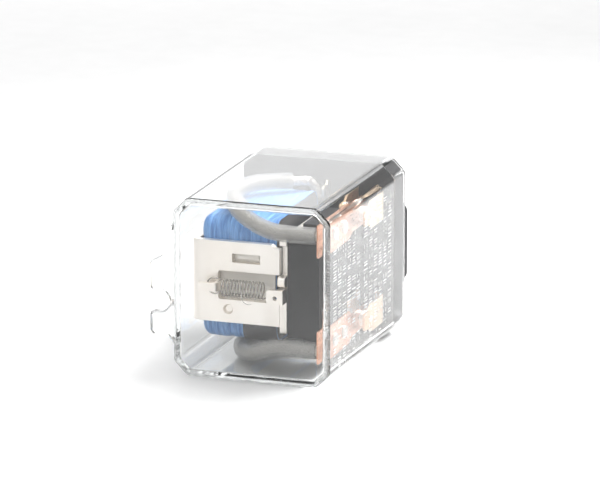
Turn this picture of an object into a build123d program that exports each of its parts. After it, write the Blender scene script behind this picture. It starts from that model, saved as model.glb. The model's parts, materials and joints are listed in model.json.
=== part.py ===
"""Plug-in power relay, two changeover poles, in a clear cover with one side ear.

The relay lies on its side: +Z is up and runs from one pole to the other, -Y is the closed end
of the cover, +Y is the plug-in direction of the eight blades, and +X is the contact side.
The origin is under the middle of the bounding box, at its lowest face.  Millimetres.

Inside, places are given as (x, depth, height): x and height from the middle of the cover,
depth from its closed end.
"""

from build123d import *
from math import pi, radians, sin, tan
import os

os.makedirs("parts", exist_ok=True)

# ---------------------------------------------------------------- driving dimensions
COVER_WIDTH = 35.7  # along X, at the rim
COVER_HEIGHT = 38.9  # along Z, at the rim
COVER_DEPTH = 47.8
COVER_DRAFT = 0.4  # the sides are this much further in at the closed end
CONTACT_SIDE_DRAFT = 1.1  # and the contact side this much
COVER_CORNER = 3.0  # leg of the chamfers on the long edges
CORNER_ROUND = 1.6  # where a chamfer meets a side
WALL = 1.25
END_ROUND = 0.9
EAR_REACH = 22.6  # from the middle of the cover to the tip of the ear
EAR_THICK = 2.4
EAR_ROUND = 0.6
EAR_NOTCH = 4.4  # width of the open screw notch
EAR_NOTCH_HEIGHT = -3.4
EAR_NOTCH_CENTRE = -20.5
NOTCH_TOP = EAR_NOTCH_HEIGHT + EAR_NOTCH / 2
NOTCH_BOTTOM = EAR_NOTCH_HEIGHT - EAR_NOTCH / 2
EAR_ABOVE = (  # outline from the cover's side to the notch, as (x, height)
    (-17.0, 14.5),
    (-18.6, 11.4),
    (-19.6, 6.6),
    (-EAR_REACH, 5.0),
    (-EAR_REACH, NOTCH_TOP),
    (EAR_NOTCH_CENTRE, NOTCH_TOP),
)
EAR_BELOW = (
    (EAR_NOTCH_CENTRE, NOTCH_BOTTOM),
    (-EAR_REACH, NOTCH_BOTTOM),
    (-EAR_REACH, -11.0),
    (-18.7, -10.6),
    (-17.0, -13.0),
)
GATE_MARK = (-1.0, -1.1)  # where the moulding's gate left a dimple inside the closed end
GATE_RADIUS, GATE_SINK = 1.5, 0.3

BASE_DEPTH = 41.65  # inner face of the base
BASE_BACK = COVER_DEPTH + 0.05
BASE_GAP = 0.1  # between the base and its pocket in the cover
RIM_POCKET = 0.35  # the rim is this much thinner, so the base seats on a ledge
PAD_HALF = 8.7
PAD_RISE = 3.5
PAD_CHAMFER = 0.35

POLE_PITCH = 22.6  # between the upper and the lower row of blades
BLADE_WIDTH = 4.75
BLADE_THICK = 0.51
BLADE_END = 57.4
NC_ROW, NO_ROW, COMMON_ROW, COIL_ROW = 12.8, 8.5, 2.5, -8.5

STEEL = 1.5  # sheet of the yoke and the armature
YOKE_FRONT = 7.7
YOKE_LEFT = -16.0
YOKE_RIGHT = 3.5
YOKE_HALF = 8.7
WINDOW_TOP, WINDOW_BOTTOM, WINDOW_LEFT = 2.4, -3.8, -10.0

COIL_DEPTH = 23.2  # depth of the coil's axis
COIL_HALF = 13.2
COIL_ROUND = 3.2
COIL_LEFT, COIL_RIGHT = -14.75, 2.1
COIL_END_ROUND = 2.2
TAPE = 0.35
FLANGE = 1.1
CORE_RADIUS = 5.5

SWING = 3.3  # degrees from rest to pulled in
PIVOT_X, PIVOT_DEPTH = YOKE_RIGHT, YOKE_FRONT + STEEL
ARMATURE_X = YOKE_RIGHT + 0.1
ARMATURE_HALF = 10.1
ARMATURE_END = 31.0
POLE_GAP = 0.1  # between armature and core when pulled in

CARRIER_FRONT, CARRIER_BACK = 5.0, 20.0
CARRIER_RIGHT = 13.1
CARRIER_HALF = 10.15
LEAF_THICK = 0.3
CONTACT_DEPTH = 28.5
CONTACT_RADIUS = 1.7
BUTTON = 0.65  # height of a fixed contact
RIVET_FACE = 0.9  # height of each face of a moving contact

SPRING_DEPTH = 5.5
SPRING_HEIGHT = -0.6
SPRING_WIRE = 0.36
SPRING_RADIUS = 1.68  # to the middle of the wire
SPRING_LEFT, SPRING_RIGHT = -8.0, 0.9
SPRING_TURNS = 13.5
LOOP_LEFT, LOOP_DEPTH = -11.95, 6.3  # the spring's end loop, round the yoke's tab

BRAID = 2.0
SLEEVE = 3.6
SLEEVE_BORE = 2.7

POLES = (("upper", 1), ("lower", -1))
BLADE_HEIGHT = POLE_PITCH / 2

CLEAR = 1.0  # how far a cut runs past the solid it goes through
SNUG = 0.05  # radial gap round a rivet or a core

# ---------------------------------------------------------------- frame
MIDDLE_X = (EAR_REACH - COVER_WIDTH / 2) / 2
CLOSED_END_Y = -BLADE_END / 2
MIDDLE_Z = COVER_HEIGHT / 2


def point(x, depth, height):
    """A place inside the relay, in the part's own frame."""
    return Vector(MIDDLE_X + x, CLOSED_END_Y + depth, MIDDLE_Z + height)


def across(depth):
    """Sketch plane facing the closed end: local x is X, local y is height."""
    return Plane(origin=point(0, depth, 0), x_dir=(1, 0, 0), z_dir=(0, -1, 0))


def level(height):
    """Sketch plane facing up: local x is X, local y is depth."""
    return Plane(origin=point(0, 0, height), x_dir=(1, 0, 0), z_dir=(0, 0, 1))


def side(x):
    """Sketch plane facing +X: local x is depth, local y is height."""
    return Plane(origin=point(x, 0, 0), x_dir=(0, 1, 0), z_dir=(1, 0, 0))


def write(piece, label):
    """Name a finished piece and write its STEP file."""
    piece.part.label = label
    export_step(piece.part, f"parts/{label}.step")


def chamfered_rectangle(width, height, leg, corner_round=CORNER_ROUND):
    """Rectangle with its corners cut off, and the ends of the cuts rounded."""
    Rectangle(width, height)
    chamfer(vertices(), length=leg)
    fillet(vertices(), radius=corner_round)


# ---------------------------------------------------------------- cover
inner_corner = COVER_CORNER - WALL * (2 - 2**0.5)
rim_wall = WALL - RIM_POCKET + BASE_GAP / 2
seat_width = COVER_WIDTH - 2 * rim_wall
seat_height = COVER_HEIGHT - 2 * rim_wall
seat_depth = BASE_DEPTH - BASE_GAP / 2

front_width = COVER_WIDTH - COVER_DRAFT - CONTACT_SIDE_DRAFT
front_height = COVER_HEIGHT - 2 * COVER_DRAFT
front_middle = (COVER_DRAFT - CONTACT_SIDE_DRAFT) / 2


def cover_block(wall, corner):
    """The cover's tapered outside, or its inside when given a wall."""
    with BuildPart() as block:
        with BuildSketch(across(wall)):
            with Locations((front_middle, 0)):
                chamfered_rectangle(front_width - 2 * wall, front_height - 2 * wall, corner)
        with BuildSketch(across(COVER_DEPTH)):
            chamfered_rectangle(COVER_WIDTH - 2 * wall, COVER_HEIGHT - 2 * wall, corner)
        loft()
    return block.part


with BuildPart() as ear:
    with BuildSketch(across(0)):
        with BuildLine():
            FilletPolyline(*EAR_ABOVE, radius=[3.0, 1.2, 1.4, 0.8])
            RadiusArc(EAR_ABOVE[-1], EAR_BELOW[0], EAR_NOTCH / 2)
            FilletPolyline(*EAR_BELOW, radius=[0.8, 1.3, 0.8])
            Line(EAR_BELOW[-1], EAR_ABOVE[0])
        make_face()
    extrude(amount=-EAR_THICK)
    ear_faces = ear.faces().sort_by(Axis.Y)
    fillet(ear_faces[0].edges() + ear_faces[-1].edges(), EAR_ROUND)

with BuildPart() as cover_hollow:
    add(cover_block(WALL, inner_corner))
    fillet(cover_hollow.faces().sort_by(Axis.Y)[0].edges(), END_ROUND / 2)
    with BuildSketch(across(WALL)):
        with Locations(GATE_MARK):
            Circle(GATE_RADIUS)
    extrude(amount=GATE_SINK)

with BuildPart() as cover:
    add(cover_block(0, COVER_CORNER))
    fillet(cover.faces().sort_by(Axis.Y)[0].edges(), END_ROUND)
    add(ear.part)
    add(cover_hollow.part, mode=Mode.SUBTRACT)
    with BuildSketch(across(seat_depth)):
        chamfered_rectangle(seat_width, seat_height, inner_corner)
    extrude(amount=-(COVER_DEPTH - seat_depth + CLEAR), mode=Mode.SUBTRACT)
write(cover, "cover")

# ---------------------------------------------------------------- base
ROWS = (NC_ROW, NO_ROW, COMMON_ROW, COIL_ROW)
PAD_LEFT, PAD_RIGHT = -8.8, 17.4
BARRIER = (7.5, 15.6, 33.0)  # left, right and inner end of the wall between the poles
BARRIER_THICK = 1.6
BARRIER_SLOPE = (2.5, 3.0)
BARRIER_ROUND = 1.0
THROUGH_BASE = 20.0
FOOT_RIVETS = ((-11.8, 5.0), (-11.8, -5.0))
FOOT_RIVET_RADIUS = 1.2
COUNTERBORE_RADIUS, COUNTERBORE = 2.6, 1.2
PAD_CORNER = 2.0
BLADE_SLOT_GAP = 0.1

left, right, inner_end = BARRIER

with BuildPart() as base:
    with BuildSketch(across(BASE_DEPTH)):
        chamfered_rectangle(seat_width - 2 * BASE_GAP, seat_height - 2 * BASE_GAP, inner_corner)
    extrude(amount=-(BASE_BACK - BASE_DEPTH))
    with BuildSketch(across(BASE_BACK)):
        with Locations(((PAD_LEFT + PAD_RIGHT) / 2, 0)):
            RectangleRounded(PAD_RIGHT - PAD_LEFT, 2 * PAD_HALF, PAD_CORNER)
    extrude(amount=-PAD_RISE)
    chamfer(base.faces().sort_by(Axis.Y)[-1].edges(), length=PAD_CHAMFER)
    with BuildSketch(level(-BARRIER_THICK / 2)):
        with BuildLine():
            FilletPolyline(
                (left, BASE_DEPTH + CLEAR),
                (left, inner_end + BARRIER_SLOPE[1]),
                (left + BARRIER_SLOPE[0], inner_end),
                (right, inner_end),
                (right, BASE_DEPTH + CLEAR),
                radius=BARRIER_ROUND,
            )
            Line((right, BASE_DEPTH + CLEAR), (left, BASE_DEPTH + CLEAR))
        make_face()
    extrude(amount=BARRIER_THICK)
    with BuildSketch(across(BASE_DEPTH - CLEAR)):
        with Locations([(x, z * BLADE_HEIGHT) for x in ROWS for z in (1, -1)]):
            Rectangle(BLADE_THICK + BLADE_SLOT_GAP, BLADE_WIDTH + BLADE_SLOT_GAP)
        with Locations(FOOT_RIVETS):
            Circle(FOOT_RIVET_RADIUS + SNUG)
    extrude(amount=-THROUGH_BASE, mode=Mode.SUBTRACT)
    with BuildSketch(across(BASE_BACK - COUNTERBORE)):
        with Locations(FOOT_RIVETS):
            Circle(COUNTERBORE_RADIUS)
    extrude(amount=-COUNTERBORE, mode=Mode.SUBTRACT)
write(base, "base")

# ---------------------------------------------------------------- yoke
YOKE_FOOT = -9.5
TAB_FRONT, TAB_THICK, TAB_HALF = 4.6, 0.8, 0.9
TAB_TIP = -13.4
FOOT_BACK = BASE_DEPTH - 0.05
CORE_NECK = 3.0
LUG_SLOT = (-3.8, 5.25)  # middle of the slot for the coil saddle's lug
LUG_SLOT_SIZE = (6.2, 1.95)
LUG_SLOT_ROUND = 0.25
WINDOW_ROUND = 0.6
YOKE_BEND_INSIDE, YOKE_BEND_OUTSIDE = 0.5, 2.0
CORNER_RELIEF = ((0.6, 9.7), (5.0, 9.7), (5.0, 7.9), (2.6, 7.9))
DIMPLE = (-7.8, -5.85)
DIMPLE_RADIUS, DIMPLE_SINK = 1.1, 0.7
SCORE = ((-2.6, -4.1), (-6.3, -8.7), (-6.42, -8.6), (-2.72, -4.0))  # shallow marking line
SCORE_SINK = 0.08
through_yoke = STEEL + 2 * CLEAR

with BuildPart() as yoke_frame:
    with BuildSketch(level(-YOKE_HALF)):
        with BuildLine():
            FilletPolyline(
                (YOKE_RIGHT, YOKE_FRONT),
                (YOKE_LEFT, YOKE_FRONT),
                (YOKE_LEFT, FOOT_BACK),
                (YOKE_FOOT, FOOT_BACK),
                (YOKE_FOOT, FOOT_BACK - STEEL),
                (YOKE_LEFT + STEEL, FOOT_BACK - STEEL),
                (YOKE_LEFT + STEEL, YOKE_FRONT + STEEL),
                (YOKE_RIGHT, YOKE_FRONT + STEEL),
                radius=[YOKE_BEND_OUTSIDE] * 2 + [0, 0] + [YOKE_BEND_INSIDE] * 2,
            )
            Line((YOKE_RIGHT, YOKE_FRONT + STEEL), (YOKE_RIGHT, YOKE_FRONT))
        make_face()
    extrude(amount=2 * YOKE_HALF)
    # window under the return spring, open towards the armature
    with BuildSketch(across(YOKE_FRONT - CLEAR)):
        with BuildLine():
            FilletPolyline(
                (YOKE_RIGHT + CLEAR, WINDOW_TOP),
                (WINDOW_LEFT, WINDOW_TOP),
                (WINDOW_LEFT, WINDOW_BOTTOM),
                (YOKE_RIGHT + CLEAR, WINDOW_BOTTOM),
                radius=WINDOW_ROUND,
            )
            Line((YOKE_RIGHT + CLEAR, WINDOW_BOTTOM), (YOKE_RIGHT + CLEAR, WINDOW_TOP))
        make_face()
        # slot for the lug of the coil saddle
        with Locations(LUG_SLOT):
            RectangleRounded(*LUG_SLOT_SIZE, LUG_SLOT_ROUND)
        # corner relief beside the armature
        Polygon(*CORNER_RELIEF, align=None)
    extrude(amount=-through_yoke, mode=Mode.SUBTRACT)
    with BuildSketch(across(YOKE_FRONT)):
        with Locations(DIMPLE):
            Circle(DIMPLE_RADIUS)
    extrude(amount=-DIMPLE_SINK, taper=30, mode=Mode.SUBTRACT)
    with BuildSketch(across(YOKE_FRONT)):
        Polygon(*SCORE, align=None)
    extrude(amount=-SCORE_SINK, mode=Mode.SUBTRACT)
    # lanced spring tab: stands on the left end of the window, its tip bent over to the left
    with BuildSketch(level(SPRING_HEIGHT - TAB_HALF)):
        with BuildLine():
            FilletPolyline(
                (WINDOW_LEFT, YOKE_FRONT + STEEL),
                (WINDOW_LEFT, TAB_FRONT + TAB_THICK),
                (TAB_TIP, TAB_FRONT + TAB_THICK),
                (TAB_TIP, TAB_FRONT),
                (WINDOW_LEFT + TAB_THICK, TAB_FRONT),
                (WINDOW_LEFT + TAB_THICK, YOKE_FRONT + STEEL),
                radius=[0, 0, 0, TAB_THICK],
            )
            Line((WINDOW_LEFT + TAB_THICK, YOKE_FRONT + STEEL), (WINDOW_LEFT, YOKE_FRONT + STEEL))
        make_face()
    extrude(amount=2 * TAB_HALF)
    # holes for the core and for the two rivets of the foot
    with BuildSketch(side(YOKE_LEFT - CLEAR)):
        with Locations((COIL_DEPTH, 0)):
            Circle(CORE_NECK)
    extrude(amount=through_yoke, mode=Mode.SUBTRACT)
    with BuildSketch(across(FOOT_BACK - STEEL - CLEAR)):
        with Locations(FOOT_RIVETS):
            Circle(FOOT_RIVET_RADIUS + SNUG)
    extrude(amount=-through_yoke, mode=Mode.SUBTRACT)
write(yoke_frame, "yoke_frame")

FOOT_HEAD_RADIUS, FOOT_HEAD = 2.1, 1.0
FOOT_TAIL_RADIUS, FOOT_TAIL = 2.2, 0.9
FOOT_DOME = 0.5

with BuildPart() as frame_rivets:
    for x, height in FOOT_RIVETS:
        with BuildSketch(across(FOOT_BACK - STEEL - FOOT_HEAD)):
            with Locations((x, height)):
                Circle(FOOT_HEAD_RADIUS)
        extrude(amount=-FOOT_HEAD)
        with BuildSketch(across(FOOT_BACK - STEEL)):
            with Locations((x, height)):
                Circle(FOOT_RIVET_RADIUS)
        extrude(amount=-(BASE_BACK - COUNTERBORE - FOOT_BACK + STEEL))
        with BuildSketch(across(BASE_BACK - COUNTERBORE)):
            with Locations((x, height)):
                Circle(FOOT_TAIL_RADIUS)
        extrude(amount=-FOOT_TAIL)
    domes = frame_rivets.edges().filter_by(GeomType.CIRCLE).group_by(Axis.Y)
    fillet(domes[0] + domes[-1], FOOT_DOME)
write(frame_rivets, "frame_rivets")

# ---------------------------------------------------------------- coil
# The pole face is cut parallel to the pulled-in armature.
pulled_in = tan(radians(SWING))
face_depth = COIL_DEPTH
face_x = ARMATURE_X - (face_depth - PIVOT_DEPTH) * pulled_in - POLE_GAP
POLE_FACE = Plane(
    origin=point(face_x, face_depth, 0), x_dir=(0, 0, 1), z_dir=(1, sin(radians(SWING)), 0)
)
RING_DEPTH = COIL_DEPTH + 2.0
RING_SIZE, RING_ROUND = (4.0, 6.6), 0.5
RING_HOLE, RING_HOLE_ROUND = (2.2, 4.8), 0.3
RING_SINK, RING_THICK = 1.4, 1.15
UNCUT_CORE = 22.0

with BuildPart() as core:
    with BuildSketch(side(YOKE_LEFT + STEEL)):
        with Locations((COIL_DEPTH, 0)):
            Circle(CORE_RADIUS)
    extrude(amount=UNCUT_CORE)
    split(bisect_by=POLE_FACE, keep=Keep.BOTTOM)
    with BuildSketch(side(YOKE_LEFT)):
        with Locations((COIL_DEPTH, 0)):
            Circle(CORE_NECK)
    extrude(amount=STEEL)
    with BuildSketch(side(face_x - RING_SINK)):
        with Locations((RING_DEPTH, 0)):
            RectangleRounded(*RING_SIZE, RING_ROUND)
            RectangleRounded(*RING_HOLE, RING_HOLE_ROUND, mode=Mode.SUBTRACT)
    extrude(amount=RING_SINK + CLEAR, mode=Mode.SUBTRACT)
write(core, "core")

with BuildPart() as shading_ring:
    with BuildSketch(side(face_x - RING_SINK)):
        with Locations((RING_DEPTH, 0)):
            RectangleRounded(*RING_SIZE, RING_ROUND)
            RectangleRounded(*RING_HOLE, RING_HOLE_ROUND, mode=Mode.SUBTRACT)
    extrude(amount=RING_THICK)
write(shading_ring, "shading_ring")

TUBE_WALL = 1.0
tube_radius = CORE_RADIUS + TUBE_WALL
winding_half = COIL_HALF - TAPE
channel_left, channel_right = COIL_LEFT - CLEAR, YOKE_LEFT + STEEL + SNUG
CHANNEL_GAP = 0.1


def square_section(half, corner, x):
    """Rounded square around the coil's axis, facing along it."""
    with BuildSketch(side(x)) as section:
        with Locations((COIL_DEPTH, 0)):
            RectangleRounded(2 * half, 2 * half, corner)
    return section.sketch


def round_section(radius, x):
    """Disc on the coil's axis, facing along it."""
    with BuildSketch(side(x)) as section:
        with Locations((COIL_DEPTH, 0)):
            Circle(radius)
    return section.sketch


with BuildPart() as leg_channel:
    with BuildSketch(level(-YOKE_HALF - CHANNEL_GAP)):
        with Locations(((channel_left + channel_right) / 2, COIL_DEPTH)):
            Rectangle(channel_right - channel_left, 2 * (COIL_HALF + CLEAR))
    extrude(amount=2 * (YOKE_HALF + CHANNEL_GAP))

FLANGE_SETBACK = 0.1
flange_left = COIL_LEFT + FLANGE_SETBACK
flange_right = COIL_RIGHT - FLANGE_SETBACK
winding_left = flange_left + 2 * FLANGE
winding_right = flange_right - FLANGE
inner_round = COIL_ROUND - TAPE
length = flange_right - flange_left

with BuildPart() as bobbin:
    extrude(square_section(winding_half, inner_round, flange_left), amount=2 * FLANGE)
    fillet(bobbin.faces().sort_by(Axis.X)[0].edges(), COIL_END_ROUND - TAPE)
    extrude(square_section(winding_half, inner_round, winding_right), amount=FLANGE)
    extrude(round_section(tube_radius, flange_left), amount=length)
    extrude(
        round_section(CORE_RADIUS + SNUG, flange_left - CLEAR),
        amount=length + 2 * CLEAR,
        mode=Mode.SUBTRACT,
    )
    add(leg_channel.part, mode=Mode.SUBTRACT)
write(bobbin, "bobbin")

with BuildPart() as coil_winding:
    extrude(
        square_section(winding_half, inner_round, winding_left + SNUG),
        amount=winding_right - winding_left - 2 * SNUG,
    )
    extrude(round_section(tube_radius + SNUG, flange_left), amount=length, mode=Mode.SUBTRACT)
write(coil_winding, "coil_winding")

with BuildPart() as coil_tape:
    extrude(square_section(COIL_HALF, COIL_ROUND, COIL_LEFT), amount=COIL_RIGHT - COIL_LEFT)
    fillet(coil_tape.faces().sort_by(Axis.X)[0].edges(), COIL_END_ROUND)
    extrude(
        square_section(winding_half + SNUG, inner_round, COIL_LEFT),
        amount=COIL_RIGHT - COIL_LEFT,
        mode=Mode.SUBTRACT,
    )
    add(leg_channel.part, mode=Mode.SUBTRACT)
write(coil_tape, "coil_tape")

# black tape over the place where the winding's ends come out, lower right of the front
PATCH = 0.25
PATCH_LEFT = -5.3
PATCH_TOP = -8.9
PATCH_DEPTH = 30.0
with BuildPart() as lead_patch:
    extrude(
        square_section(COIL_HALF + PATCH, COIL_ROUND + PATCH, PATCH_LEFT),
        amount=COIL_RIGHT - PATCH_LEFT,
    )
    extrude(
        square_section(COIL_HALF, COIL_ROUND, PATCH_LEFT - CLEAR),
        amount=COIL_RIGHT - PATCH_LEFT + 2 * CLEAR,
        mode=Mode.SUBTRACT,
    )
    split(bisect_by=Plane(origin=point(0, 0, PATCH_TOP), z_dir=(0, 0, 1)), keep=Keep.BOTTOM)
    split(bisect_by=Plane(origin=point(0, PATCH_DEPTH, 0), z_dir=(0, 1, 0)), keep=Keep.BOTTOM)
write(lead_patch, "lead_patch")

# moulded saddle between the coil and the yoke, its lug in the yoke's slot
SADDLE_DEPTH, SADDLE_THICK = 9.35, 0.4
SADDLE_MIDDLE, SADDLE_WIDTH, SADDLE_HEIGHT = -6.1, 16.2, 16.6
LUG, LUG_SIZE, LUG_ROUND = (-3.5, 5.55), (4.9, 1.0), 0.2
LUG_DEPTH = 8.3
with BuildPart() as coil_saddle:
    with BuildSketch(across(SADDLE_DEPTH)):
        with Locations((SADDLE_MIDDLE, 0)):
            Rectangle(SADDLE_WIDTH, SADDLE_HEIGHT)
    extrude(amount=-SADDLE_THICK)
    with BuildSketch(across(LUG_DEPTH)):
        with Locations(LUG):
            RectangleRounded(*LUG_SIZE, LUG_ROUND)
    extrude(amount=-(SADDLE_DEPTH - LUG_DEPTH + SADDLE_THICK / 2))
write(coil_saddle, "coil_saddle")

# ---------------------------------------------------------------- armature and what it carries
SHOULDER_DEPTH = 7.6
SHOULDER_HALF = 8.6
NOTCH_DEPTH = PIVOT_DEPTH + 0.3
TAIL = (-3.2, -0.2)  # bottom and top of the tail that holds the spring
KNUCKLE = (0.1, 2.3)
KNUCKLE_FRONT = 6.2
TAIL_FRONT = 5.0
TAIL_LEFT = 1.5
TAIL_THICK, TAIL_ROOT = 1.2, 2.5
TAIL_BEND = 0.9
TAIL_CORNER = 0.7
KNUCKLE_ROUND = 0.9
ARMATURE_CORNER = 0.3
HOOK_HOLE = (3.4, -1.9)
HOOK_HOLE_RADIUS = 0.45
THROUGH_TAIL = 4.0
CARRIER_RIVETS = (5.0, -5.0)
CARRIER_RIVET_DEPTH = 14.0
RIVET_RADIUS = 1.2
RIVET_TAIL_X = 8.0
outer_x = ARMATURE_X + STEEL
armature_rounds = [ARMATURE_CORNER] * 2 + [0] * 2 + [KNUCKLE_ROUND] * 2 + [0] * 5 + [ARMATURE_CORNER]

with BuildPart() as armature:
    with BuildSketch(side(ARMATURE_X)):
        with BuildLine():
            FilletPolyline(
                (ARMATURE_END, ARMATURE_HALF),
                (SHOULDER_DEPTH, ARMATURE_HALF),
                (SHOULDER_DEPTH, SHOULDER_HALF),
                (NOTCH_DEPTH, SHOULDER_HALF),
                (NOTCH_DEPTH, KNUCKLE[1]),
                (KNUCKLE_FRONT, KNUCKLE[1]),
                (KNUCKLE_FRONT, KNUCKLE[0]),
                (NOTCH_DEPTH, KNUCKLE[0]),
                (NOTCH_DEPTH, TAIL[1]),
                (TAIL_FRONT, TAIL[1]),
                (TAIL_FRONT, TAIL[0]),
                (SHOULDER_DEPTH, TAIL[0]),
                (SHOULDER_DEPTH, -ARMATURE_HALF),
                (ARMATURE_END, -ARMATURE_HALF),
                radius=armature_rounds,
            )
            Line((ARMATURE_END, -ARMATURE_HALF), (ARMATURE_END, ARMATURE_HALF))
        make_face()
    extrude(amount=STEEL)
    # the tail's tip, folded back over the yoke, with a hole for the spring's hook
    with BuildSketch(level(TAIL[0])):
        with BuildLine():
            FilletPolyline(
                (ARMATURE_X, TAIL_FRONT + TAIL_THICK),
                (TAIL_LEFT, TAIL_FRONT + TAIL_THICK),
                (TAIL_LEFT, TAIL_FRONT),
                (outer_x, TAIL_FRONT),
                (outer_x, TAIL_FRONT + TAIL_ROOT),
                (ARMATURE_X, TAIL_FRONT + TAIL_ROOT),
                radius=[0, 0, TAIL_BEND, 0],
            )
            Line((ARMATURE_X, TAIL_FRONT + TAIL_ROOT), (ARMATURE_X, TAIL_FRONT + TAIL_THICK))
        make_face()
    extrude(amount=TAIL[1] - TAIL[0])
    fillet(armature.edges().filter_by(Axis.Y).sort_by(Axis.X)[:2], TAIL_CORNER)
    with BuildSketch(across(TAIL_FRONT - CLEAR)):
        with Locations(HOOK_HOLE):
            Circle(HOOK_HOLE_RADIUS)
    extrude(amount=-THROUGH_TAIL, mode=Mode.SUBTRACT)
    with BuildSketch(side(ARMATURE_X - CLEAR)):
        with Locations([(CARRIER_RIVET_DEPTH, z) for z in CARRIER_RIVETS]):
            Circle(RIVET_RADIUS + SNUG)
    extrude(amount=STEEL + 2 * CLEAR, mode=Mode.SUBTRACT)
write(armature, "armature")

STEP_WIDTH, STEP_DEPTH = 1.2, 3.2
WING_HALF = 13.8
WING_FRONT = 8.0
WING_LEFT = 8.6
HOLLOW_X, HOLLOW_HEIGHT = 10.4, 5.2
HOLLOW_SIZE, HOLLOW_ROUND, HOLLOW_SINK = (3.0, 7.6), 0.5, 9.0
CARRIER_BORE_RADIUS = 2.4  # over the tails of the rivets
LEAF_RIVETS = (11.0, 17.0)  # depths
LEAF_RIVET_RADIUS, LEAF_RIVET_SINK = 0.8, 2.0
CARRIER_ROUND = 0.4

with BuildPart() as contact_carrier:
    with BuildSketch(across(CARRIER_FRONT)):
        with Locations(((outer_x + CARRIER_RIGHT) / 2, 0)):
            Rectangle(CARRIER_RIGHT - outer_x, 2 * CARRIER_HALF)
    extrude(amount=-(CARRIER_BACK - CARRIER_FRONT))
    with BuildSketch(across(WING_FRONT)):
        with Locations(((WING_LEFT + CARRIER_RIGHT) / 2, 0)):
            Rectangle(CARRIER_RIGHT - WING_LEFT, 2 * WING_HALF)
    extrude(amount=-(CARRIER_BACK - WING_FRONT))
    # step beside the armature, whose front edge stays bare
    with BuildSketch(across(CARRIER_FRONT)):
        with Locations((outer_x + STEP_WIDTH / 2, 0)):
            Rectangle(STEP_WIDTH, 2 * CARRIER_HALF)
    extrude(amount=-STEP_DEPTH, mode=Mode.SUBTRACT)
    # hollow back, with a rib between the poles
    for z in (1, -1):
        with BuildSketch(across(CARRIER_BACK)):
            with Locations((HOLLOW_X, z * HOLLOW_HEIGHT)):
                RectangleRounded(*HOLLOW_SIZE, HOLLOW_ROUND)
        extrude(amount=HOLLOW_SINK, mode=Mode.SUBTRACT)
    with BuildSketch(side(outer_x - CLEAR)):
        with Locations([(CARRIER_RIVET_DEPTH, z) for z in CARRIER_RIVETS]):
            Circle(RIVET_RADIUS + SNUG)
    extrude(amount=RIVET_TAIL_X - outer_x + CLEAR, mode=Mode.SUBTRACT)
    with BuildSketch(side(RIVET_TAIL_X)):
        with Locations([(CARRIER_RIVET_DEPTH, z) for z in CARRIER_RIVETS]):
            Circle(CARRIER_BORE_RADIUS)
    extrude(amount=CARRIER_RIGHT - RIVET_TAIL_X + CLEAR, mode=Mode.SUBTRACT)
    with BuildSketch(side(CARRIER_RIGHT - LEAF_RIVET_SINK)):
        with Locations([(d, z * BLADE_HEIGHT) for d in LEAF_RIVETS for z in (1, -1)]):
            Circle(LEAF_RIVET_RADIUS + SNUG)
    extrude(amount=LEAF_RIVET_SINK + CLEAR, mode=Mode.SUBTRACT)
    front_corners = contact_carrier.edges().filter_by(Axis.X).group_by(Axis.Y)[0]
    fillet(front_corners, CARRIER_ROUND)
write(contact_carrier, "contact_carrier")

RIVET_HEAD_RADIUS, RIVET_HEAD, RIVET_TAIL = 2.0, 0.45, 0.8
RIVET_DOME = 0.3

with BuildPart() as carrier_rivets:
    for z in CARRIER_RIVETS:
        for x, radius, amount in (
            (ARMATURE_X - RIVET_HEAD, RIVET_HEAD_RADIUS, RIVET_HEAD),
            (ARMATURE_X, RIVET_RADIUS, RIVET_TAIL_X - ARMATURE_X),
            (RIVET_TAIL_X, RIVET_HEAD_RADIUS, RIVET_TAIL),
        ):
            with BuildSketch(side(x)):
                with Locations((CARRIER_RIVET_DEPTH, z)):
                    Circle(radius)
            extrude(amount=amount)
    rivet_rims = carrier_rivets.edges().filter_by(GeomType.CIRCLE).group_by(Axis.X)
    fillet(rivet_rims[0] + rivet_rims[-1], RIVET_DOME)
write(carrier_rivets, "carrier_rivets")

LEAF_FRONT, LEAF_END = 3.4, 31.2
LEAF_WIDE, LEAF_SLIM = 3.5, 2.4  # half widths at the carrier and at the contact
LEAF_NARROWS = (20.5, 22.5)  # depths between which it does
LEAF_ROUND = 0.5
CONTACT_HOLE, CONTACT_SHANK = 0.75, 0.7
LEAF_RIVET_HEAD_RADIUS, LEAF_RIVET_HEAD = 1.4, 0.5

leaf_right = CARRIER_RIGHT + LEAF_THICK

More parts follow.
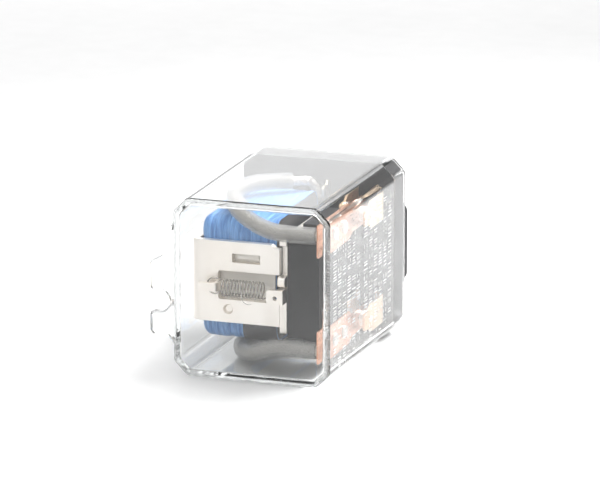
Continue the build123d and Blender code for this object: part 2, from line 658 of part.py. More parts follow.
for pole, z in POLES:
    row = z * BLADE_HEIGHT
    with BuildPart() as moving_blade:
        with BuildSketch(side(CARRIER_RIGHT)):
            with BuildLine():
                FilletPolyline(
                    (LEAF_END, row + LEAF_SLIM),
                    (LEAF_NARROWS[1], row + LEAF_SLIM),
                    (LEAF_NARROWS[0], row + LEAF_WIDE),
                    (LEAF_FRONT, row + LEAF_WIDE),
                    (LEAF_FRONT, row - LEAF_WIDE),
                    (LEAF_NARROWS[0], row - LEAF_WIDE),
                    (LEAF_NARROWS[1], row - LEAF_SLIM),
                    (LEAF_END, row - LEAF_SLIM),
                    radius=LEAF_ROUND,
                )
                RadiusArc((LEAF_END, row - LEAF_SLIM), (LEAF_END, row + LEAF_SLIM), -LEAF_SLIM - 0.2)
            make_face()
            with Locations([(d, row) for d in LEAF_RIVETS]):
                Circle(LEAF_RIVET_RADIUS + SNUG, mode=Mode.SUBTRACT)
            with Locations((CONTACT_DEPTH, row)):
                Circle(CONTACT_HOLE, mode=Mode.SUBTRACT)
        extrude(amount=LEAF_THICK)
    write(moving_blade, f"moving_blade_{pole}")

    with BuildPart() as moving_contact:
        for x, radius, amount in (
            (CARRIER_RIGHT - RIVET_FACE, CONTACT_RADIUS - 0.1, RIVET_FACE),
            (CARRIER_RIGHT, CONTACT_SHANK, LEAF_THICK),
            (leaf_right, CONTACT_RADIUS, RIVET_FACE),
        ):
            with BuildSketch(side(x)):
                with Locations((CONTACT_DEPTH, row)):
                    Circle(radius)
            extrude(amount=amount)
        contact_rims = moving_contact.edges().filter_by(GeomType.CIRCLE).group_by(Axis.X)
        fillet(contact_rims[0] + contact_rims[-1], RIVET_DOME)
    write(moving_contact, f"moving_contact_{pole}")

leaf_rivet_end = CARRIER_RIGHT - LEAF_RIVET_SINK + 2 * SNUG

with BuildPart() as blade_rivets:
    for place in [(d, z * BLADE_HEIGHT) for d in LEAF_RIVETS for z in (1, -1)]:
        for x, radius, amount in (
            (leaf_rivet_end, LEAF_RIVET_RADIUS, leaf_right - leaf_rivet_end),
            (leaf_right, LEAF_RIVET_HEAD_RADIUS, LEAF_RIVET_HEAD),
        ):
            with BuildSketch(side(x)):
                with Locations(place):
                    Circle(radius)
            extrude(amount=amount)
    rivet_rims = blade_rivets.edges().filter_by(GeomType.CIRCLE).group_by(Axis.X)
    fillet(rivet_rims[-1], RIVET_DOME)
write(blade_rivets, "blade_rivets")

# ---------------------------------------------------------------- fixed contacts and terminals
NC_BUTTON_X = CARRIER_RIGHT + LEAF_THICK + RIVET_FACE + 0.05
contact_travel = (CONTACT_DEPTH - PIVOT_DEPTH) * sin(radians(SWING))
NO_BUTTON_X = CARRIER_RIGHT - RIVET_FACE - contact_travel - CONTACT_RADIUS * pulled_in - 0.05
JOG = (37.2, 40.3)  # depths between which an arm steps across to its blade
TIP = 1.3  # taper of a blade's end
DETENT = 3.0  # from a blade's end to its hole
DETENT_RADIUS = 0.8
NECK = (38.8, 40.8)  # depths between which an arm widens to its blade
PALM = (3.0, 4.6)  # behind the inner end, where a fixed contact's seat widens to the arm
PALM_HALF = 1.9
BUTTON_HOLE = 0.8
BUTTON_TAIL = 0.25  # that stands out behind the arm
LEFT_OF_ALL, ACROSS_ALL = -12.0, 40.0


def blade_outline(row, inner_end, arm_half, tip_half):
    """Outline of a contact arm and its blade, seen along X."""
    blade_half = BLADE_WIDTH / 2
    with BuildSketch(side(LEFT_OF_ALL)) as outline:
        with BuildLine():
            FilletPolyline(
                (BLADE_END, row + blade_half - TIP),
                (BLADE_END - TIP, row + blade_half),
                (NECK[1], row + blade_half),
                (NECK[0], row + arm_half),
                (inner_end + PALM[1], row + arm_half),
                (inner_end + PALM[0], row + tip_half),
                (inner_end, row + tip_half),
                (inner_end, row - tip_half),
                (inner_end + PALM[0], row - tip_half),
                (inner_end + PALM[1], row - arm_half),
                (NECK[0], row - arm_half),
                (NECK[1], row - blade_half),
                (BLADE_END - TIP, row - blade_half),
                (BLADE_END, row - blade_half + TIP),
                radius=[0.2, 0.3, 0.3, 0.3, 0.3, 0.8, 0.8, 0.3, 0.3, 0.3, 0.3, 0.2],
            )
            Line((BLADE_END, row - blade_half + TIP), (BLADE_END, row + blade_half - TIP))
        make_face()
        with Locations((BLADE_END - DETENT, row)):
            Circle(DETENT_RADIUS, mode=Mode.SUBTRACT)
    return outline.sketch


FIXED = (  # name, x of the contact's face, which way the face looks, blade row, inner end
    ("nc", NC_BUTTON_X, -1, NC_ROW, 24.6),
    ("no", NO_BUTTON_X, 1, NO_ROW, 25.4),
)
ARM_HALF = 3.0
BUTTON_RADIUS = CONTACT_RADIUS + 0.1

for pole, z in POLES:
    row = z * BLADE_HEIGHT
    for kind, face, looks, blade_row, inner_end in FIXED:
        arm_x = face - looks * (BUTTON + BLADE_THICK / 2)
        with BuildPart() as terminal:
            with BuildSketch(level(row - ARM_HALF)):
                with BuildLine():
                    FilletPolyline(
                        (arm_x, inner_end),
                        (arm_x, JOG[0]),
                        (blade_row, JOG[1]),
                        (blade_row, BLADE_END),
                        radius=[1.2, 0.8],
                    )
                trace(line_width=BLADE_THICK)
            extrude(amount=2 * ARM_HALF)
            outline = blade_outline(row, inner_end, ARM_HALF, PALM_HALF)
            extrude(outline, amount=ACROSS_ALL, mode=Mode.INTERSECT)
            with BuildSketch(side(arm_x - CLEAR)):
                with Locations((CONTACT_DEPTH, row)):
                    Circle(BUTTON_HOLE)
            extrude(amount=2 * CLEAR, mode=Mode.SUBTRACT)
        write(terminal, f"terminal_{kind}_{pole}")

        with BuildPart() as fixed_contact:
            back = face - looks * BUTTON
            with BuildSketch(side(back)):
                with Locations((CONTACT_DEPTH, row)):
                    Circle(BUTTON_RADIUS)
            extrude(amount=looks * BUTTON)
            with BuildSketch(side(back)):
                with Locations((CONTACT_DEPTH, row)):
                    Circle(CONTACT_SHANK)
            extrude(amount=-looks * (BLADE_THICK + BUTTON_TAIL))
        write(fixed_contact, f"{kind}_contact_{pole}")

LUG_END = 38.3
LUG_HALF, LUG_TIP_HALF, LUG_TAPER = 1.6, 1.2, 0.4
LUG_NECK = (40.6, 41.2)  # depths between which a lug widens to its blade

for kind, blade_row in (("common", COMMON_ROW), ("coil", COIL_ROW)):
    for pole, z in POLES:
        row = z * BLADE_HEIGHT
        half = BLADE_WIDTH / 2
        with BuildPart() as terminal:
            with BuildSketch(level(row - half)):
                with Locations((blade_row, (LUG_END + BLADE_END) / 2)):
                    Rectangle(BLADE_THICK, BLADE_END - LUG_END)
            extrude(amount=BLADE_WIDTH)
            with BuildSketch(side(LEFT_OF_ALL)):
                with BuildLine():
                    Polyline(
                        (BLADE_END, row + half - TIP),
                        (BLADE_END - TIP, row + half),
                        (LUG_NECK[1], row + half),
                        (LUG_NECK[0], row + LUG_HALF),
                        (LUG_END + LUG_TAPER, row + LUG_HALF),
                        (LUG_END, row + LUG_TIP_HALF),
                        (LUG_END, row - LUG_TIP_HALF),
                        (LUG_END + LUG_TAPER, row - LUG_HALF),
                        (LUG_NECK[0], row - LUG_HALF),
                        (LUG_NECK[1], row - half),
                        (BLADE_END - TIP, row - half),
                        (BLADE_END, row - half + TIP),
                        close=True,
                    )
                make_face()
                with Locations((BLADE_END - DETENT, row)):
                    Circle(DETENT_RADIUS, mode=Mode.SUBTRACT)
            extrude(amount=ACROSS_ALL, mode=Mode.INTERSECT)
        write(terminal, f"terminal_{kind}_{pole}")

# ---------------------------------------------------------------- wires
LEAD = 0.6
LEAD_X = -11.2
LUG_SIDE_GAP = 0.05
braid_end_x = COMMON_ROW - BLADE_THICK / 2 - BRAID / 2 - LUG_SIDE_GAP
lead_end_x = COIL_ROW - BLADE_THICK / 2 - LUG_SIDE_GAP
lead_start = COIL_DEPTH + winding_half + 0.5


def route(points, radii):
    """A wire's centre line: straight runs joined by tangent arcs."""
    with BuildLine() as line:
        FilletPolyline(*[point(*place) for place in points], radius=radii)
    return line


def run_radii(points, share=0.45):
    """The largest arc that each corner's two runs allow."""
    places = [Vector(*place) for place in points]
    radii = []
    for before, corner, after in zip(places, places[1:], places[2:]):
        first, second = corner - before, after - corner
        turn = radians(first.get_angle(second))
        radii.append(share * min(first.length, second.length) / tan(turn / 2))
    return radii


def report_wire(name, wire, square, line):
    """Print a wire's length, and its volume beside its section times its length."""
    run = sum(edge.length for edge in line.edges())
    print(f"  {name}: length {run:.1f}, volume {wire.part.volume:.2f}, check {pi / 4 * square * run:.2f}")


BENDS = {"upper": 0.0, "lower": 1.7}  # how much further right a pigtail turns back

for pole, z in POLES:
    # coil lead: out of the winding's back, over to the lug of the coil blade
    lead_points = (
        (LEAD_X, lead_start, z * 8.4),
        (LEAD_X, 38.6, z * 8.6),
        (-10.4, 39.5, z * 10.0),
        (lead_end_x, 39.6, z * 11.2),
    )
    lead_line = route(lead_points, run_radii(lead_points))
    with BuildPart() as coil_lead:
        with BuildSketch(Plane(origin=lead_line.line @ 0, z_dir=lead_line.line % 0)):
            Circle(LEAD / 2)
        sweep(path=lead_line.line)
    write(coil_lead, f"coil_lead_{pole}")

    # pigtail: from the moving blade along the front, round over the coil to the common blade
    bend = BENDS[pole]
    pigtail_points = (
        (CARRIER_RIGHT - SNUG, 4.8, z * 12.2),
        (8.0, 4.8, z * 12.2),
        (2.4 + bend / 2, 4.9, z * 12.3),
        (-3.4 + bend, 6.3, z * 14.5),
        (-7.8 + bend, 11.4, z * 15.7),
        (-10.0 + bend, 17.5, z * 15.65),
        (-10.0 + bend, 24.0, z * 15.7),
        (-6.6 + bend / 2, 29.0, z * 15.65),
        (-0.8, 31.6, z * 15.5),
        (0.9, 37.0, z * 14.6),
        (braid_end_x, 39.3, z * 10.6),
    )
    radii = run_radii(pigtail_points)
    braid_line = route(pigtail_points, radii)
    with BuildPart() as pigtail:
        with BuildSketch(Plane(origin=braid_line.line @ 0, z_dir=braid_line.line % 0)):
            Circle(BRAID / 2)
        sweep(path=braid_line.line)
    write(pigtail, f"pigtail_{pole}")

    sleeve_points = (
        (12.7, 4.8, pigtail_points[0][2]),
        *pigtail_points[1:-3],
        (-1.8, 31.15, z * 15.52),
    )
    sleeve_line = route(sleeve_points, run_radii(sleeve_points))
    with BuildPart() as pigtail_sleeve:
        with BuildSketch(Plane(origin=sleeve_line.line @ 0, z_dir=sleeve_line.line % 0)):
            Circle(SLEEVE / 2)
            Circle(SLEEVE_BORE / 2, mode=Mode.SUBTRACT)
        sweep(path=sleeve_line.line)
    write(pigtail_sleeve, f"pigtail_sleeve_{pole}")
    print(pole, "pigtail arcs", [round(radius, 1) for radius in radii])
    report_wire("coil lead", coil_lead, LEAD**2, lead_line)
    report_wire("pigtail", pigtail, BRAID**2, braid_line)
    report_wire("sleeve", pigtail_sleeve, SLEEVE**2 - SLEEVE_BORE**2, sleeve_line)

# ---------------------------------------------------------------- return spring
coil_length = SPRING_RIGHT - SPRING_LEFT
top = SPRING_HEIGHT + SPRING_RADIUS
bottom = SPRING_HEIGHT - SPRING_RADIUS
hole_x, hole_height = HOOK_HOLE
HOOKS = (  # points, radii: the loop on the yoke's tab, the hook through the armature's tail
    (
        (
            (SPRING_LEFT, SPRING_DEPTH, top),
            (SPRING_LEFT - 0.9, LOOP_DEPTH, top),
            (LOOP_LEFT, LOOP_DEPTH, top),
            (LOOP_LEFT, LOOP_DEPTH, bottom),
            (SPRING_LEFT - 0.9, LOOP_DEPTH, bottom),
        ),
        [0.6, SPRING_RADIUS - 0.05, SPRING_RADIUS - 0.05],
    ),
    (
        (
            (SPRING_RIGHT, SPRING_DEPTH, bottom),
            (SPRING_RIGHT + 0.25, TAIL_FRONT + 1.75, bottom + 0.05),
            (hole_x, TAIL_FRONT + 1.75, hole_height),
            (hole_x, TAIL_FRONT - 0.5, hole_height),
        ),
        [0.5, 0.6],
    ),
)

with BuildPart() as return_spring:
    with BuildLine():
        helix = Helix(
            pitch=coil_length / SPRING_TURNS,
            height=coil_length,
            radius=SPRING_RADIUS,
            center=point(SPRING_LEFT, SPRING_DEPTH, SPRING_HEIGHT),
            direction=(1, 0, 0),
        )
    with BuildSketch(Plane(origin=helix @ 0, z_dir=helix % 0)):
        Circle(SPRING_WIRE / 2)
    sweep(path=helix, is_frenet=True)
    for places, bends in HOOKS:
        hook = route(places, bends).line
        with BuildSketch(Plane(origin=hook @ 0, z_dir=hook % 0)):
            Circle(SPRING_WIRE / 2 - 0.01)
        sweep(path=hook)
write(return_spring, "return_spring")
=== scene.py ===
"""Looks of the plug-in relay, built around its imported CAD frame.

Inside the relay, places are given as in its CAD: x and height from the middle of the cover,
depth from its closed end, in millimetres.  place() turns them into the frame's metres.
Numbers in this script are in millimetres unless they say otherwise.
"""

import json
import random
from math import cos, pi, radians, sin, tau

import bpy
import numpy as np
from mathutils import Matrix, Vector, noise


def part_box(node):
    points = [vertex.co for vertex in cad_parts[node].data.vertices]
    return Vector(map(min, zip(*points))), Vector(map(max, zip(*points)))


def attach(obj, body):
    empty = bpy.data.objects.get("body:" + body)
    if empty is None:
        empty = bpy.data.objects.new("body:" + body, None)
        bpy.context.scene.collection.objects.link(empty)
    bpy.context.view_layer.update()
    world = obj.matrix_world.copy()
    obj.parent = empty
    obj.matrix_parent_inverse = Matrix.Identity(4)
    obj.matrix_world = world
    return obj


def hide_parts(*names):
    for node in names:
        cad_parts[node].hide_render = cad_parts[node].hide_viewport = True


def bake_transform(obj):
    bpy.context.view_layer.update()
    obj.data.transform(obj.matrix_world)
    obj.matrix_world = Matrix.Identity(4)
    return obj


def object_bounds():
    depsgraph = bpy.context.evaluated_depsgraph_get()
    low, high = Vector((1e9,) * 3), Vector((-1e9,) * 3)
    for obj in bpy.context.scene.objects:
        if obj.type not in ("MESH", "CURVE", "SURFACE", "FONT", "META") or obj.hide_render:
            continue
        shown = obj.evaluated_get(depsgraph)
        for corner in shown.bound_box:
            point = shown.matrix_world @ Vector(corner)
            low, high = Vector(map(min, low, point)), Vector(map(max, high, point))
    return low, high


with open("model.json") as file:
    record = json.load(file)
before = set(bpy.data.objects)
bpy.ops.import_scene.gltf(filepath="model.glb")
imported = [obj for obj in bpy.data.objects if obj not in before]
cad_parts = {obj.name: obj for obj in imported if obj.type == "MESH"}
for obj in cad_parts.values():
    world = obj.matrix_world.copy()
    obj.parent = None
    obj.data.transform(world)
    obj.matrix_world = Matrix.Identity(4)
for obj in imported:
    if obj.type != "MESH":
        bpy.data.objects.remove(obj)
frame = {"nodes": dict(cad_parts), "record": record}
cad_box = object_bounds()

MM = 0.001
HALF_WIDTH = 17.85  # of the cover at its rim
cover_low, cover_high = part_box("cover")
MIDDLE = Vector(
    (cover_high.x - HALF_WIDTH * MM, cover_low.y, (cover_low.z + cover_high.z) / 2)
)
COVER_DEPTH = (cover_high.y - cover_low.y) / MM
DRAFT = 1.1  # the cover's contact side is this much further in at the closed end

HOUSING, ARMATURE = "housing", "armature_group"
POLES = (("upper", 1), ("lower", -1))
random.seed(7)


def place(x, depth, height):
    """A place inside the relay, in the frame's metres."""
    return MIDDLE + Vector((x, depth, height)) * MM


# ---------------------------------------------------------------- camera
YAW, PITCH = radians(18.95), radians(14.57)
DISTANCE = 900
SIDEWAYS, UPWARDS = -2.164, -5.39  # from the view's middle to the cover's
SENSOR, LENS = 36.0, 256.134
CLIP = (0.01, 20)  # metres


def add_camera():
    back = Vector((sin(YAW) * cos(PITCH), -cos(YAW) * cos(PITCH), sin(PITCH)))
    right = Vector((cos(YAW), sin(YAW), 0))
    up = back.cross(right)
    spot = place(0, COVER_DEPTH / 2, 0) + (back * DISTANCE - right * SIDEWAYS - up * UPWARDS) * MM
    data = bpy.data.cameras.new("camera")
    data.sensor_width = SENSOR
    data.lens = LENS
    data.clip_start, data.clip_end = CLIP
    camera = bpy.data.objects.new("camera", data)
    turn = Matrix((right, up, back)).transposed()
    camera.matrix_world = Matrix.Translation(spot) @ turn.to_4x4()
    bpy.context.scene.collection.objects.link(camera)
    bpy.context.scene.camera = camera


add_camera()

# ---------------------------------------------------------------- studio
bpy.context.scene.view_settings.view_transform = "Standard"
# light runs along inside the clear walls by many reflections
WALL_BOUNCES, ALL_BOUNCES = 24, 32
light_paths = bpy.context.scene.cycles
light_paths.max_bounces = ALL_BOUNCES
light_paths.glossy_bounces = WALL_BOUNCES
light_paths.transmission_bounces = WALL_BOUNCES

# where the surroundings change, in parts of a unit direction
BACK_FADE, DIM_FADE, SIDE_FADE, TOP_FADE = (-1, 0.8), (-0.2, 0.3), (0.45, 0.8), (0.25, 0.8)


def node(tree, kind, **values):
    """A new node with its inputs set by name."""
    made = tree.nodes.new(f"ShaderNode{kind}")
    for name, value in values.items():
        made.inputs[name.replace("_", " ")].default_value = value
    return made


def add_world(front, behind, sides, above):
    """White surroundings, dimmed to the sides by a share in front and one behind, with more light
    from above."""
    world = bpy.data.worlds.new("studio")
    world.use_nodes = True
    tree = world.node_tree
    background = tree.nodes["Background"]
    background.inputs["Color"].default_value = (1, 1, 1, 1)
    direction = tree.nodes.new("ShaderNodeTexCoord")
    split = tree.nodes.new("ShaderNodeSeparateXYZ")
    tree.links.new(direction.outputs["Generated"], split.inputs[0])

    def ramp(value, fade, low, high):
        made = node(tree, "MapRange", From_Min=fade[0], From_Max=fade[1], To_Min=low)
        made.interpolation_type = "SMOOTHSTEP"
        if isinstance(high, bpy.types.NodeSocket):
            tree.links.new(high, made.inputs["To Max"])
        else:
            made.inputs["To Max"].default_value = high
        tree.links.new(value, made.inputs["Value"])
        return made.outputs["Result"]

    def combine(kind, one, other=None):
        made = tree.nodes.new("ShaderNodeMath")
        made.operation = kind
        tree.links.new(one, made.inputs[0])
        if other is not None:
            tree.links.new(other, made.inputs[1])
        return made.outputs[0]

    depth = ramp(split.outputs["Y"], BACK_FADE, front, behind)
    dimmed = ramp(split.outputs["Y"], DIM_FADE, *sides)
    sideways = ramp(combine("ABSOLUTE", split.outputs["X"]), SIDE_FADE, 1, dimmed)
    overhead = ramp(split.outputs["Z"], TOP_FADE, 0, above)
    total = combine("ADD", combine("MULTIPLY", depth, sideways), overhead)
    tree.links.new(total, background.inputs["Strength"])
    bpy.context.scene.world = world


def add_softbox(name, spot, aim, size, radiance, beam=180):
    """Square lamp at spot, in mm from the cover's middle, facing aim.  beam is in degrees."""
    data = bpy.data.lights.new(name, "AREA")
    data.shape = "SQUARE"
    data.size = size * MM
    data.energy = radiance * pi * data.size**2
    data.spread = radians(beam)
    lamp = bpy.data.objects.new(name, data)
    lamp.location = place(*spot)
    lamp.rotation_euler = (lamp.location - place(*aim)).to_track_quat("Z", "Y").to_euler()
    bpy.context.scene.collection.objects.link(lamp)


add_world(front=0.45, behind=0.4, sides=(0.9, 0.25), above=0.5)
add_softbox("key", (-240, -200, 640), (0, 20, 0), 420, 1.7)
add_softbox("backdrop", (-230, 600, 190), (0, 20, 10), 420, 1.15)
add_softbox("table_lamp", (130, 190, 270), (60, 110, -20), 160, 4.5, beam=80)
add_softbox("front_fill", (-260, -560, 110), (0, 0, 0), 320, 0.85)


FLOOR_HALF = 3.0  # metres
FLOOR_GAP = 0.05  # below the relay


def add_floor():
    mesh = bpy.data.meshes.new("floor")
    corners = [(x * FLOOR_HALF, y * FLOOR_HALF, 0) for x, y in ((-1, -1), (1, -1), (1, 1), (-1, 1))]
    mesh.from_pydata(corners, [], [(0, 1, 2, 3)])
    floor = bpy.data.objects.new("floor", mesh)
    floor.location.z = cad_box[0].z - FLOOR_GAP * MM
    bpy.context.scene.collection.objects.link(floor)
    floor.data.materials.append(
        surface("pale_floor", ((0.88, 0.88, 0.88), (0.9, 0.9, 0.9)), (0.5, 0.6), 40, 0.0)
    )


# ---------------------------------------------------------------- materials
def grain(tree, scale, stretch=(1, 1, 1), detail=4.0):
    """Noise over the object, scale in features per metre, drawn out along an axis by stretch."""
    where = tree.nodes.new("ShaderNodeTexCoord")
    mapping = node(tree, "Mapping", Scale=[scale * s for s in stretch])
    cloud = node(tree, "TexNoise", Scale=1.0, Detail=detail)
    tree.links.new(where.outputs["Object"], mapping.inputs["Vector"])
    tree.links.new(mapping.outputs["Vector"], cloud.inputs["Vector"])
    return cloud.outputs["Fac"]


def spread(tree, value, low, high, start=0.3, end=0.7):
    """value, from start to end, spread over low to high."""
    ramp = node(tree, "MapRange", From_Min=start, From_Max=end, To_Min=low, To_Max=high)
    tree.links.new(value, ramp.inputs["Value"])
    return ramp.outputs["Result"]


def surface(
    name, colours, roughness, scale, bump, stretch=(1, 1, 1), blotch=150, **sockets
):
    """A material whose colour runs between two, with grain in its roughness and relief.

    scale is the grain's, in features per metre, bump its depth in mm and blotch the scale of the
    colour's change.  sockets are plain values of the shader.
    """
    made = bpy.data.materials.new(name)
    made.use_nodes = True
    tree = made.node_tree
    shader = tree.nodes["Principled BSDF"]
    for socket, value in sockets.items():
        shader.inputs[socket.replace("_", " ")].default_value = value
    low, high = ([*c, 1] for c in colours)
    mix = tree.nodes.new("ShaderNodeMix")
    mix.data_type = "RGBA"
    mix.inputs["A"].default_value = low
    mix.inputs["B"].default_value = high
    tree.links.new(spread(tree, grain(tree, blotch, stretch), 0, 1), mix.inputs["Factor"])
    tree.links.new(mix.outputs["Result"], shader.inputs["Base Color"])
    fine = grain(tree, scale, stretch)
    tree.links.new(spread(tree, fine, *roughness), shader.inputs["Roughness"])
    if bump:
        relief = node(tree, "Bump", Strength=1.0, Distance=bump * MM)
        tree.links.new(fine, relief.inputs["Height"])
        tree.links.new(relief.outputs["Normal"], shader.inputs["Normal"])
    return made


def lets_light_in(made, tint, share=1.0, always=0.0):
    """Rays towards lamps pass the clear material straight, and always is the share of other rays."""
    tree = made.node_tree
    shader = tree.nodes["Principled BSDF"]
    output = tree.nodes["Material Output"]
    straight = tree.nodes.new("ShaderNodeBsdfTransparent")
    straight.inputs["Color"].default_value = (*tint, 1)
    path = tree.nodes.new("ShaderNodeLightPath")
    level = node(tree, "MapRange", To_Min=always, To_Max=share)
    mix = tree.nodes.new("ShaderNodeMixShader")
    tree.links.new(path.outputs["Is Shadow Ray"], level.inputs["Value"])
    tree.links.new(level.outputs["Result"], mix.inputs["Fac"])
    tree.links.new(shader.outputs["BSDF"], mix.inputs[1])
    tree.links.new(straight.outputs["BSDF"], mix.inputs[2])
    tree.links.new(mix.outputs["Shader"], output.inputs["Surface"])
    return made


def clear_cover():
    """Glossy polycarbonate with the faint waviness of a moulding."""
    made = bpy.data.materials.new("clear_plastic")
    made.use_nodes = True
    tree = made.node_tree
    shader = tree.nodes["Principled BSDF"]
    shader.inputs["Base Color"].default_value = (0.985, 0.99, 0.99, 1)
    shader.inputs["Roughness"].default_value = 0.015
    shader.inputs["IOR"].default_value = 1.585
    shader.inputs["Transmission Weight"].default_value = 1.0
    relief = node(tree, "Bump", Strength=0.6, Distance=0.004 * MM)
    tree.links.new(grain(tree, 260, detail=1.0), relief.inputs["Height"])
    tree.links.new(relief.outputs["Normal"], shader.inputs["Normal"])
    depth = tree.nodes.new("ShaderNodeVolumeAbsorption")
    depth.inputs["Color"].default_value = (0.5, 0.53, 0.53, 1)
    depth.inputs["Density"].default_value = 13  # each 16 mm takes out a tenth of the light
    tree.links.new(depth.outputs["Volume"], tree.nodes["Material Output"].inputs["Volume"])
    return lets_light_in(made, (0.97, 0.975, 0.975))


METAL = {"Metallic": 1.0}
MATERIALS = {
    "clear_plastic": clear_cover(),
    "black_moulding": surface(
        "black_moulding", ((0.014, 0.014, 0.016), (0.026, 0.026, 0.028)), (0.42, 0.56), 9000, 0.006,
        Specular_IOR_Level=0.2
    ),
    "carrier_moulding": surface(
        "carrier_moulding", ((0.007, 0.007, 0.008), (0.014, 0.014, 0.015)), (0.45, 0.6), 7000, 0.006,
        Specular_IOR_Level=0.15
    ),
    "nickel_steel": surface(
        "nickel_steel", ((0.9, 0.84, 0.775), (0.98, 0.935, 0.88)), (0.3, 0.46), 2500, 0.002,
        stretch=(1, 1, 0.15), **METAL
    ),
    "rivet_steel": surface(
        "rivet_steel", ((0.62, 0.60, 0.56), (0.74, 0.72, 0.68)), (0.25, 0.4), 4000, 0.003, **METAL
    ),
    "core_steel": surface(
        "core_steel", ((0.52, 0.5, 0.47), (0.64, 0.61, 0.57)), (0.28, 0.42), 5000, 0.003, **METAL
    ),
    "spring_steel": surface(
        "spring_steel", ((0.3, 0.28, 0.26), (0.5, 0.47, 0.43)), (0.08, 0.16), 6000, 0.001, **METAL
    ),
    "copper": surface(
        "copper", ((0.72, 0.33, 0.2), (0.86, 0.45, 0.3)), (0.28, 0.42), 4000, 0.002, **METAL
    ),
    "tinned_braid": surface(
        "tinned_braid", ((0.55, 0.52, 0.48), (0.8, 0.77, 0.73)), (0.3, 0.5), 9000, 0.002,
        blotch=1500, **METAL
    ),
    "enamelled_copper": surface(
        "enamelled_copper", ((0.42, 0.12, 0.04), (0.62, 0.24, 0.09)), (0.18, 0.3), 6000, 0.001,
        Coat_Weight=0.8, Coat_Roughness=0.1, **METAL
    ),
    "bronze": surface(
        "bronze", ((0.6, 0.28, 0.17), (0.9, 0.56, 0.41)), (0.24, 0.38), 3500, 0.002,
        stretch=(1, 0.2, 1), blotch=900, **METAL
    ),
    "contact_brass": surface(
        "contact_brass", ((0.76, 0.53, 0.34), (0.88, 0.68, 0.48)), (0.24, 0.38), 3500, 0.002,
        stretch=(1, 0.2, 1), **METAL
    ),
    "tinned_brass": surface(
        "tinned_brass", ((0.7, 0.62, 0.46), (0.82, 0.76, 0.62)), (0.25, 0.4), 3500, 0.002,
        stretch=(1, 0.2, 1), **METAL
    ),
    "silver": surface(
        "silver", ((0.8, 0.79, 0.76), (0.92, 0.91, 0.89)), (0.22, 0.4), 5000, 0.003, **METAL
    ),
    "bobbin_nylon": surface(
        "bobbin_nylon", ((0.02, 0.02, 0.022), (0.04, 0.04, 0.042)), (0.35, 0.5), 8000, 0.004
    ),
    "blue_tape": surface(
        "blue_tape", ((0.035, 0.15, 0.45), (0.23, 0.48, 0.84)), (0.3, 0.45), 6000, 0.004,
        stretch=(1, 0.08, 0.08), blotch=2200, Specular_IOR_Level=0.25
    ),
    # black_tape finishes a dark patch on the coil's lower right, put where the coil lies in shade: the
    # patch is painted shade
    "black_tape": surface(
        "black_tape", ((0.014, 0.014, 0.016), (0.035, 0.035, 0.038)), (0.35, 0.55), 5000, 0.008
    ),
    "saddle_nylon": surface(
        "saddle_nylon", ((0.8, 0.75, 0.68), (0.9, 0.86, 0.79)), (0.4, 0.55), 5000, 0.004
    ),
    "clear_sleeve": surface(
        "clear_sleeve", ((0.37, 0.362, 0.355), (0.49, 0.48, 0.47)), (0.18, 0.3), 5000, 0.006,
        Transmission_Weight=0.35, IOR=1.3
    ),
    "white_ink": surface(
        "white_ink", ((0.78, 0.78, 0.78), (0.86, 0.86, 0.86)), (0.4, 0.55), 9000, 0.0
    ),
}
lets_light_in(MATERIALS["clear_sleeve"], (0.9, 0.9, 0.88), share=0.85, always=0.5)

record_slots = {part["node"]: part["material_slot"] for part in frame["record"]["subparts"]}
for name, cad_piece in frame["nodes"].items():
    for index in range(len(cad_piece.material_slots)):
        cad_piece.material_slots[index].material = MATERIALS[record_slots[name]]

add_floor()


# ---------------------------------------------------------------- mesh helpers
def add_piece(name, vertices, faces, slot, smooth=True):
    """A mesh piece in the frame's metres, in the finish of one of the record's slots."""
    mesh = bpy.data.meshes.new(name)
    mesh.from_pydata([tuple(v) for v in vertices], [], faces)
    mesh.validate()
    mesh.update()
    mesh.polygons.foreach_set("use_smooth", [smooth] * len(mesh.polygons))
    piece = bpy.data.objects.new(name, mesh)
    bpy.context.scene.collection.objects.link(piece)
    mesh.materials.append(MATERIALS[slot])
    return piece


def smooth_line(places, order=3, resolution=14):
    """Points along the NURBS spline whose control points are places, in the frame's metres."""
    curve = bpy.data.curves.new("line", "CURVE")
    curve.dimensions = "3D"
    curve.resolution_u = resolution
    spline = curve.splines.new("NURBS")
    spline.points.add(len(places) - 1)
    for spot, where in zip(spline.points, places):
        spot.co = (*place(*where), 1)
    spline.order_u = order
    spline.use_endpoint_u = True
    holder = bpy.data.objects.new("line", curve)
    mesh = bpy.data.meshes.new_from_object(holder)
    line = [v.co.copy() for v in mesh.vertices]
    bpy.data.objects.remove(holder)
    bpy.data.meshes.remove(mesh)
    bpy.data.curves.remove(curve)
    return line


def even_points(line, count):
    """count points spaced evenly along a line of points."""
    spots = np.array([tuple(p) for p in line])
    run = np.concatenate([[0], np.cumsum(np.linalg.norm(np.diff(spots, axis=0), axis=1))])
    at = np.linspace(0, run[-1], count)
    return [Vector(p) for p in zip(*(np.interp(at, run, spots[:, k]) for k in range(3)))], run[-1]


def line_frames(line):
    """(point, side, other side) along a line, the sides turning no more than the line does."""
    tangents = [
        (line[min(i + 1, len(line) - 1)] - line[max(i - 1, 0)]).normalized()
        for i in range(len(line))
    ]
    side = tangents[0].orthogonal().normalized()
    made = []
    for spot, tangent in zip(line, tangents):
        side = (side - tangent * side.dot(tangent)).normalized()
        made.append((spot, side, tangent.cross(side)))
    return made


